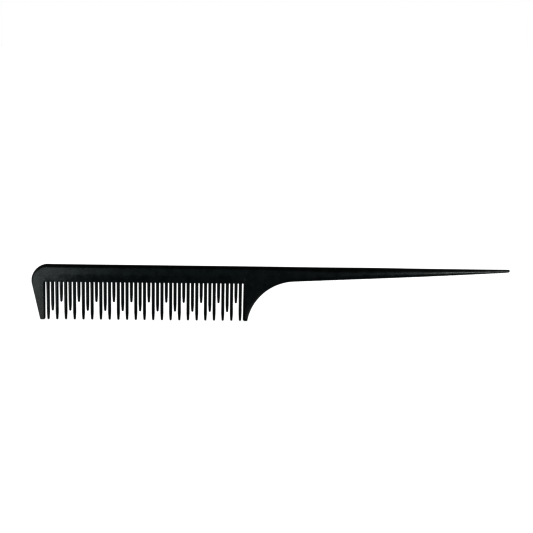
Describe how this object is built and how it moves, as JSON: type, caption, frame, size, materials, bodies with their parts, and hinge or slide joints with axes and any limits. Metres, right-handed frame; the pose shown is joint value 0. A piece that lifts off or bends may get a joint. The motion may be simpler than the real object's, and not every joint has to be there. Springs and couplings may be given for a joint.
{
  "type": "rat tail comb",
  "caption": "Moulded black rat tail comb: flat spine, teeth in repeating long, medium and short lengths between two end guards, and a long tapering oval tail for parting hair.",
  "frame": {"origin": "centre of the comb's bounding box", "axes": "+X along the comb from the toothed head to the tip of the tail, +Y through the thickness, +Z from the tips of the teeth up to the spine"},
  "size_m": [0.216, 0.0038, 0.025],
  "materials": {
    "comb_plastic": "satin black moulded plastic, slightly worn on its raised edges"
  },
  "bodies": {
    "root": {"comb": "comb_plastic"}
  },
  "joints": []
}
